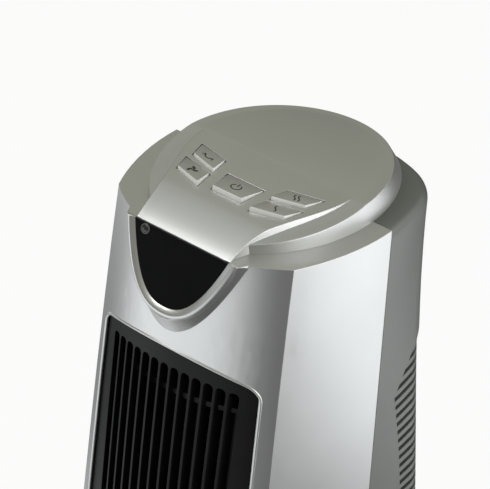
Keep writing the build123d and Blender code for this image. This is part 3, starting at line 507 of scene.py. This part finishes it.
def circle_through(first, second, third):
    a, b, c = Vector(first), Vector(second), Vector(third)
    matrix = Matrix(((b.x - a.x, b.y - a.y), (c.x - a.x, c.y - a.y)))
    middle = matrix.inverted() @ Vector(((b.dot(b) - a.dot(a)) / 2, (c.dot(c) - a.dot(a)) / 2))
    return middle, (a - middle).length


NOSE_START = (-56.0, 577.85)
NOSE_KNEE = (-72.0, 573.4)
NOSE_TOE = (-85.5, 566.0)
NOSE_REACH = 46.0
NOSE_MIDDLE, NOSE_RADIUS = circle_through(NOSE_START, NOSE_KNEE, NOSE_TOE)
SLIVER = 0.002 * MM


def nose_height(along):
    return NOSE_MIDDLE.y + (NOSE_RADIUS ** 2 - (along - NOSE_MIDDLE.x) ** 2) ** 0.5


def smooth_cap():
    shape = shape_of("top_cap")
    for corner in shape.verts:
        across, along, _ = corner.co / MM
        if abs(across) < NOSE_REACH and NOSE_TOE[0] < along < NOSE_START[0]:
            corner.co.z = min(corner.co.z, nose_height(along) * MM)
    bmesh.ops.dissolve_degenerate(shape, dist=SLIVER, edges=shape.edges)
    piece = placed("cap_shell", shape, SILVER, "tower", CREASE_ANGLE)
    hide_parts("top_cap")


smooth_cap()

# Thin skin over the nose, which dips into it at the sides and the back

SKIN_HALF = 33.4
SKIN_RISE = 0.04
SKIN_SINK = 0.5
SKIN_DIP = 0.1
SKIN_EDGE = 4.0
SKIN_FADE = 5
SKIN_START = 0.1
SKIN_SHORT = 2
SKIN_ROWS = 28
SKIN_COLUMNS = 22


def nose_skin():
    length = NOSE_START[0] - NOSE_TOE[0] - SKIN_SHORT
    places = [SKIN_HALF * (2 * column / SKIN_COLUMNS - 1) for column in range(SKIN_COLUMNS + 1)]
    rings = []
    for row in range(SKIN_ROWS + 1):
        along = NOSE_TOE[0] + SKIN_START + length * row / SKIN_ROWS
        height = nose_height(along)
        end = (SKIN_ROWS - row) / SKIN_ROWS * SKIN_FADE
        upper = []
        for across in places:
            rim = min(1.0, (SKIN_HALF - abs(across)) / SKIN_EDGE, end)
            upper.append(Vector((across, along, height + SKIN_RISE - SKIN_DIP * (1 - rim))) * MM)
        lower = [Vector((across, along, height - SKIN_SINK)) * MM for across in reversed(places)]
        rings.append(upper + lower)
    shape = bmesh.new()
    tube(shape, rings, False)
    placed("nose_skin", shape, SILVER, "tower", CREASE_ANGLE)


nose_skin()

# Crisp edge round the cap's disc
# DISC_FOOT and DISC_HEAD hold the oval's half width, half depth and middle y, below and above

CAP_Z = 580.0
CAP_DECK = 566.0
DOME_RADIUS = 840.0
FOLD_Y = 4.0
FOLD_DROP = 10.4
FOLD_LENGTH = 99
FOLD_SLOPE = FOLD_DROP / FOLD_LENGTH
DISC_FOOT = (68.5, 92.0, 7.0)
DISC_HEAD = (63.5, 80.0, -5.0)
DISC_SPAN = 28.0
RIM_START = -58.0
RIM_END = 238.0
RIM_STEPS = 220
RIM_ROUNDS = 6
RIM_EDGE = 0.35
RIM_DROP_SHARE = 0.2
RIM_INSET_SHARE = 0.15
RIM_INNER = 5.0
RIM_SECTION = ((9.0, -0.08), (5.0, 0.02), (2.5, 0.04), (0.7, 0.04), (0.2, 0.04))


def disc_top(y):
    if y < FOLD_Y:
        return CAP_Z - (FOLD_Y - y) * FOLD_SLOPE
    return CAP_Z - DOME_RADIUS + (DOME_RADIUS ** 2 - (y - FOLD_Y) ** 2) ** 0.5


def disc_point(turn, height, inward):
    share = (height - CAP_DECK) / DISC_SPAN
    width, depth, middle = (
        foot + (head - foot) * share for foot, head in zip(DISC_FOOT, DISC_HEAD)
    )
    return Vector(((width - inward) * cos(turn), middle + (depth - inward) * sin(turn), height))


def cap_rim():
    rings = []
    for step in range(RIM_STEPS + 1):
        turn = radians(RIM_START + (RIM_END - RIM_START) * step / RIM_STEPS)
        height = CAP_Z
        for _ in range(RIM_ROUNDS):
            height = disc_top(disc_point(turn, height, 0).y)
        ring = []
        for inward, rise in RIM_SECTION:
            spot = disc_point(turn, height, inward)
            ring.append(Vector((spot.x, spot.y, disc_top(spot.y) + rise)))
        drop, inset = RIM_EDGE * RIM_DROP_SHARE, RIM_EDGE * RIM_INSET_SHARE
        ring.append(disc_point(turn, height - drop, inset))
        for drop in (RIM_EDGE, (height - CAP_DECK) / 2, height - CAP_DECK):
            ring.append(disc_point(turn, height - drop, -SKIN_RISE))
        ring.append(disc_point(turn, CAP_DECK, RIM_INNER))
        rings.append([point * MM for point in ring])
    shape = bmesh.new()
    tube(shape, rings, False)
    placed("cap_rim", shape, SILVER, "tower", CREASE_ANGLE)


cap_rim()


# Arched upper edge of the air outlet: copies of the housing and grille, drawn up in the middle

ARCH_RISE = 13.1
ARCH_HALF = 58.0
ARCH_FOOT = 460.0
OUTLET_TOP = 480.5
ARCH_TOP = 506.0
ARCH_BACK = -40.0
ARCH_STEP = 3.0
ARCH_MARGIN = 4
FACE_LEAN = 0.03


def arch_lift(x, z):
    bow = max(0.0, 1 - (x / ARCH_HALF) ** 2)
    if z <= OUTLET_TOP:
        share = max(0.0, (z - ARCH_FOOT) / (OUTLET_TOP - ARCH_FOOT))
    else:
        share = max(0.0, (ARCH_TOP - z) / (ARCH_TOP - OUTLET_TOP))
    return ARCH_RISE * bow * share


def near_arch(spot):
    low, high = (ARCH_FOOT - ARCH_MARGIN) * MM, (ARCH_TOP + ARCH_MARGIN) * MM
    return spot.y < ARCH_BACK * MM and low < spot.z < high


def split_at(shape, place, normal):
    faces = [face for face in shape.faces if any(near_arch(corner.co) for corner in face.verts)]
    edges = {edge for face in faces for edge in face.edges}
    corners = {corner for face in faces for corner in face.verts}
    bmesh.ops.bisect_plane(
        shape,
        geom=[*corners, *edges, *faces],
        plane_co=Vector(place) * MM,
        plane_no=normal,
    )


def arched(node_name, name, material):
    """Replaces a node by its arched copy, and gives the copy's tree for ray casts."""
    shape = shape_of(node_name)
    split_at(shape, (0, 0, ARCH_TOP), (0, 0, 1))
    split_at(shape, (0, 0, ARCH_FOOT), (0, 0, 1))
    count = int(ARCH_HALF / ARCH_STEP)
    for step in range(-count, count + 1):
        split_at(shape, (step * ARCH_STEP, 0, 0), (1, 0, 0))
    for corner in shape.verts:
        if corner.co.y < ARCH_BACK * MM:
            lift = arch_lift(corner.co.x / MM, corner.co.z / MM) * MM
            corner.co.z += lift
            corner.co.y += lift * FACE_LEAN
    tree = BVHTree.FromBMesh(shape)
    piece = placed(name, shape, material, "tower", CREASE_ANGLE)
    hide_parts(node_name)
    return tree


shell_tree = arched("front_housing", "front_shell", SILVER)
arched("front_grille", "outlet_grille", BLACK)


# Rolled edge round the outlet

OUTLET_CORNERS = ((-68.0, 118.0), (68.0, 118.0), (59.0, 480.5), (-59.0, 480.5))
OUTLET_ROUND = 8.0
ROUND_STEPS = 8
SIDE_STEPS = 40
EDGE_RADIUS = 1.1
EDGE_OUT = 0.8
EDGE_SINK = 0.45
EDGE_SIDES = 10
BEFORE_FRONT = -200


def outlet_outline():
    """The outlet's rounded outline as (x, z), before its upper edge is arched."""
    points = []
    count = len(OUTLET_CORNERS)
    for index, corner in enumerate(OUTLET_CORNERS):
        here = Vector(corner)
        back = (Vector(OUTLET_CORNERS[index - 1]) - here).normalized()
        ahead = Vector(OUTLET_CORNERS[(index + 1) % count]) - here
        start, end = here + back * OUTLET_ROUND, here + ahead.normalized() * OUTLET_ROUND
        for step in range(ROUND_STEPS + 1):
            share = step / ROUND_STEPS
            rest = 1 - share
            points.append(start * rest ** 2 + here * 2 * share * rest + end * share ** 2)
        stop = here + ahead.normalized() * (ahead.length - OUTLET_ROUND)
        points += [end.lerp(stop, step / SIDE_STEPS) for step in range(1, SIDE_STEPS)]
    return points


def rolled_edge():
    outline = outlet_outline()
    path = []
    for index, point in enumerate(outline):
        way = (outline[(index + 1) % len(outline)] - outline[index - 1]).normalized()
        spot = point + Vector((way.y, -way.x)) * EDGE_OUT
        z = spot.y + arch_lift(spot.x, min(spot.y, OUTLET_TOP))
        start = Vector((spot.x, BEFORE_FRONT, z)) * MM
        hit = shell_tree.ray_cast(start, Vector((0, 1, 0)))[0]
        path.append(hit + Vector((0, EDGE_SINK, 0)) * MM)
    turns = [2 * pi * step / EDGE_SIDES for step in range(EDGE_SIDES)]
    rings = []
    for index, place in enumerate(path):
        way = (path[(index + 1) % len(path)] - path[index - 1]).normalized()
        side = way.cross(Vector((0, 1, 0))).normalized()
        up = side.cross(way)
        rings.append([
            place + (side * cos(turn) + up * sin(turn)) * EDGE_RADIUS * MM for turn in turns
        ])
    shape = bmesh.new()
    tube(shape, rings, True)
    placed("outlet_edge", shape, SILVER, "tower")


rolled_edge()


# Display window: a glass plate and the rounded lip round it
# LIP_SECTION: distance outward from the window's edge, and height over its plane

WINDOW_HALF = 34.5
WINDOW_DROP = 42.8
WINDOW_LEAN = radians(16.0)
WINDOW_FRONT = -85.5
WINDOW_POWER = 2.4
LIP_STEPS = 120
LIP_EASE = 6
LIP_SECTION = (
    (-0.3, 1.0),
    (0.4, 1.5),
    (1.6, 2.0),
    (2.8, 2.35),
    (3.8, 2.45),
    (4.7, 2.25),
    (5.5, 1.7),
    (6.1, 0.9),
    (6.5, -0.2),
    (6.7, -1.8),
    (5.5, -2.2),
    (1.0, -0.3),
)
GLASS_OUT = 1.3
GLASS_BACK = -0.3
GLASS_REACH = 0.4


def on_window(across, up, out):
    """A point given from the middle of the window's upper edge, in the window's leaning plane."""
    return Vector((
        across,
        WINDOW_FRONT + up * sin(WINDOW_LEAN) - out * cos(WINDOW_LEAN),
        CAP_DECK + up * cos(WINDOW_LEAN) + out * sin(WINDOW_LEAN),
    )) * MM


def window_outline():
    """Points and outward normals of the window's curved edge, from deck to deck."""
    points = []
    for index in range(LIP_STEPS + 1):
        across = -cos(pi * index / LIP_STEPS)
        up = -WINDOW_DROP * (1 - abs(across) ** WINDOW_POWER)
        points.append(Vector((across * WINDOW_HALF, up)))
    normals = []
    for index in range(LIP_STEPS + 1):
        way = (points[min(index + 1, LIP_STEPS)] - points[max(index - 1, 0)]).normalized()
        normals.append(Vector((way.y, -way.x)))
    return points, normals


def window_lip():
    rings = []
    for point, normal in zip(*window_outline()):
        level = min(1.0, -point.y / LIP_EASE)
        side = Vector((normal.x, normal.y * level)).normalized()
        rings.append([on_window(*(point + side * grow), out) for grow, out in LIP_SECTION])
    shape = bmesh.new()
    tube(shape, rings, False)
    placed("window_bead", shape, SILVER, "tower", CREASE_ANGLE)


def window_glass_plate():
    shape = bmesh.new()
    outline = [point + normal * GLASS_REACH for point, normal in zip(*window_outline())]
    front, back = (
        [shape.verts.new(on_window(point.x, min(point.y, 0), out)) for point in outline]
        for out in (GLASS_OUT, GLASS_BACK)
    )
    count = len(front)
    for index in range(count):
        beside = (index + 1) % count
        shape.faces.new((front[index], front[beside], back[beside], back[index]))
    shape.faces.new(front)
    shape.faces.new(back[::-1])
    bmesh.ops.recalc_face_normals(shape, faces=shape.faces)
    piece = placed("window_glass", shape, GLASS, "tower")
    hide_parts("window_lens")


window_lip()
window_glass_plate()

# Receiver's eye, set in the glass, and the ring round it, as closed profiles of (radius, height)

EYE_ACROSS = -25.6
EYE_DROP = 3.9
EYE_STEPS = 48
EYE_FACE = ((2.45, 1.2), (2.45, 1.5), (2.0, 1.75), (1.2, 1.95), (0.05, 2.0), (0.05, 1.2))
EYE_RING = ((2.5, 1.2), (2.5, 1.75), (2.7, 1.85), (3.0, 1.8), (3.2, 1.55), (3.2, 1.2))


def turned(name, profile, material):
    rings = []
    for step in range(EYE_STEPS):
        around = 2 * pi * step / EYE_STEPS
        rings.append([
            on_window(EYE_ACROSS + reach * cos(around), -EYE_DROP + reach * sin(around), out)
            for reach, out in profile
        ])
    shape = bmesh.new()
    tube(shape, rings, True)
    return placed(name, shape, material, "tower")


eye = turned("eye_face", EYE_FACE, EYE)
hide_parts("ir_eye")
turned("eye_ring", EYE_RING, RING)


# Helpers for the studio's light

PURE_WHITE = (1, 1, 1, 1)


def smooth_rise(tree, start, low, high):
    rise = node(tree, "ShaderNodeMapRange", interpolation_type="SMOOTHSTEP")
    rise.inputs["From Min"].default_value = low
    rise.inputs["From Max"].default_value = high
    join(tree, start, "Value", rise, "Value")
    return rise


def lobe(tree, start, out, toward, edge, core):
    """Brightness that rises to one as a direction turns to another; the angles are in degrees."""
    meet = node(tree, "ShaderNodeVectorMath", operation="DOT_PRODUCT")
    join(tree, start, out, meet, 0)
    meet.inputs[1].default_value = Vector(toward).normalized()
    return smooth_rise(tree, meet, cos(radians(edge)), cos(radians(core)))


def maths(tree, operation, first, second):
    """Second is a number or another node."""
    made = node(tree, "ShaderNodeMath", operation=operation)
    join(tree, first, 0, made, 0)
    if isinstance(second, float):
        made.inputs[1].default_value = second
    else:
        join(tree, second, 0, made, 1)
    return made


def levels(tree, start, stops):
    made = ramp(tree, [(place, (level, level, level)) for place, level in stops])
    join(tree, start, 0, made, "Fac")
    return made


# Floor: pale and matt, seen white, with soft bright fields of light that only reflections show
# Each field has a direction, its edge and core in degrees, and levels over the distance,
# where a distance of 1 is SHEEN_REACH in metres

FLOOR_HALF = 6.0
FLOOR_TONE = (0.86, 0.86, 0.85)
FLOOR_WHITE_SHARE = 0.9
SHEEN_REACH = 3.0
SHEEN_TONE = (0.955, 0.98, 1.0, 1)
SHEEN_BASE = 0.18

RIGHT_TOWARD = (0.945, 0.326, 0)
RIGHT_LOBE = (56, 40)
RIGHT_LEVEL = 1.6
RIGHT_LEVELS = ((0.0, 0.3), (0.12, 0.5), (0.26, 1.0))
BAND_ACROSS = (0.53, 0.85, 0)
BAND_START = 0.35
BAND_END = 0.72

FRONT_TOWARD = (-0.36, -0.933, 0)
FRONT_LOBE = (62, 10)
FRONT_LEVEL = 1.4
FRONT_LEVELS = ((0.0, 0.22), (0.12, 0.5), (0.26, 0.95), (0.5, 1.0), (0.66, 0.5), (0.85, 0.12))

LEFT_TOWARD = (-0.99, -0.1, 0)
LEFT_LOBE = (55, 30)
LEFT_LEVELS = ((0.0, 0.8), (0.12, 0.8), (0.2, 0.12), (0.33, 0.12), (0.47, 1.0), (0.9, 1.0))


def floor_sheen(tree):
    """What shiny surfaces see of the floor: bright on the right, in front and on the left."""
    place = node(tree, "ShaderNodeNewGeometry")
    flat = node(tree, "ShaderNodeVectorMath", operation="MULTIPLY", in_1=(1, 1, 0))
    join(tree, place, "Position", flat, 0)
    way = node(tree, "ShaderNodeVectorMath", operation="NORMALIZE")
    join(tree, flat, 0, way, 0)
    reach = node(tree, "ShaderNodeVectorMath", operation="LENGTH")
    join(tree, flat, 0, reach, 0)
    span = node(tree, "ShaderNodeMath", operation="DIVIDE", in_1=SHEEN_REACH)
    join(tree, reach, "Value", span, 0)

    across = node(tree, "ShaderNodeVectorMath", operation="DOT_PRODUCT", in_1=BAND_ACROSS)
    join(tree, flat, 0, across, 0)
    band = smooth_rise(tree, across, BAND_START, BAND_END)
    right = maths(tree, "MULTIPLY", lobe(tree, way, 0, RIGHT_TOWARD, *RIGHT_LOBE), band)
    right = maths(tree, "MULTIPLY", right, RIGHT_LEVEL)
    right = maths(tree, "MULTIPLY", right, levels(tree, span, RIGHT_LEVELS))

    front = maths(tree, "MULTIPLY", lobe(tree, way, 0, FRONT_TOWARD, *FRONT_LOBE), FRONT_LEVEL)
    front = maths(tree, "ADD", front, SHEEN_BASE)
    front = maths(tree, "MULTIPLY", front, levels(tree, span, FRONT_LEVELS))

    left = lobe(tree, way, 0, LEFT_TOWARD, *LEFT_LOBE)
    left = maths(tree, "MULTIPLY", left, levels(tree, span, LEFT_LEVELS))

    level = maths(tree, "ADD", maths(tree, "ADD", right, left), front)
    glow = node(tree, "ShaderNodeEmission", in_0=SHEEN_TONE)
    join(tree, level, 0, glow, "Strength")
    return glow


def mixed(tree, share, first, second):
    made = node(tree, "ShaderNodeMixShader")
    tree.links.new(share, made.inputs[0])
    tree.links.new(first.outputs[0], made.inputs[1])
    tree.links.new(second.outputs[0], made.inputs[2])
    return made


def make_floor():
    mesh = bpy.data.meshes.new("floor")
    corners = [(x * FLOOR_HALF, y * FLOOR_HALF, 0) for x, y in ((-1, -1), (1, -1), (1, 1), (-1, 1))]
    mesh.from_pydata(corners, [], [(0, 1, 2, 3)])
    floor = bpy.data.objects.new("floor", mesh)
    scene.collection.objects.link(floor)
    material = bpy.data.materials.new("floor")
    material.use_nodes = True
    tree = material.node_tree
    tree.nodes.clear()
    out = node(tree, "ShaderNodeOutputMaterial")
    matt = node(tree, "ShaderNodeBsdfDiffuse", in_0=(*FLOOR_TONE, 1))
    white = node(tree, "ShaderNodeEmission", in_0=PURE_WHITE, in_1=1.0)
    path = node(tree, "ShaderNodeLightPath")
    share = node(tree, "ShaderNodeMath", operation="MULTIPLY", in_1=FLOOR_WHITE_SHARE)
    join(tree, path, "Is Camera Ray", share, 0)
    seen = mixed(tree, share.outputs[0], matt, white)
    mirrored = mixed(tree, path.outputs["Is Glossy Ray"], seen, floor_sheen(tree))
    join(tree, mirrored, 0, out, 0)
    mesh.materials.append(material)


# World: a room that is dim below and light above, with a bright card low on the right

ROOM_TONES = (
    (0.0, (0.10, 0.10, 0.09)),
    (0.2, (0.24, 0.24, 0.21)),
    (0.36, (0.37, 0.372, 0.30)),
    (0.7, (0.37, 0.372, 0.30)),
    (0.92, (0.72, 0.74, 0.74)),
)
CARD_TOWARD = (0.97, 0.16, 0.15)
CARD_LOBE = (30, 12)
CARD_TONE = (2.6, 2.6, 2.6, 1)


def make_world():
    world = bpy.data.worlds.new("studio")
    world.use_nodes = True
    scene.world = world
    tree = world.node_tree
    tree.nodes.clear()
    out = node(tree, "ShaderNodeOutputWorld")
    path = node(tree, "ShaderNodeLightPath")
    white = node(tree, "ShaderNodeBackground", in_0=PURE_WHITE, in_1=1.0)
    room = node(tree, "ShaderNodeBackground", in_1=1.0)
    place = node(tree, "ShaderNodeTexCoord")
    parts = node(tree, "ShaderNodeSeparateXYZ")
    join(tree, place, "Generated", parts, "Vector")
    tones = ramp(tree, ROOM_TONES)
    join(tree, parts, "Z", tones, "Fac")
    card = lobe(tree, place, "Generated", CARD_TOWARD, *CARD_LOBE)
    lit = node(tree, "ShaderNodeMix", data_type="RGBA", in_7=CARD_TONE)
    join(tree, card, 0, lit, 0)
    join(tree, tones, "Color", lit, 6)
    join(tree, lit, 2, room, "Color")
    shown = mixed(tree, path.outputs["Is Camera Ray"], room, white)
    join(tree, shown, 0, out, 0)


# Soft lamps: name, place in metres, size in metres, power in watts

LAMPS_AIM = Vector((0, 0, 0.45))
LAMPS = (
    ("key_lamp", (-1.0, -1.6, 2.6), 1.4, 26),
    ("side_lamp", (2.4, 0.2, 1.7), 2.2, 5),
    ("back_lamp", (1.5, 2.1, 1.2), 1.3, 9),
)


def soft_lamp(name, place, size, power):
    data = bpy.data.lights.new(name, "AREA")
    data.shape = "SQUARE"
    data.size = size
    data.energy = power
    lamp = bpy.data.objects.new(name, data)
    lamp.location = place
    lamp.rotation_euler = (LAMPS_AIM - Vector(place)).to_track_quat("-Z", "Y").to_euler()
    scene.collection.objects.link(lamp)


make_floor()
make_world()
for lamp in LAMPS:
    soft_lamp(*lamp)

scene.view_settings.view_transform = "Standard"
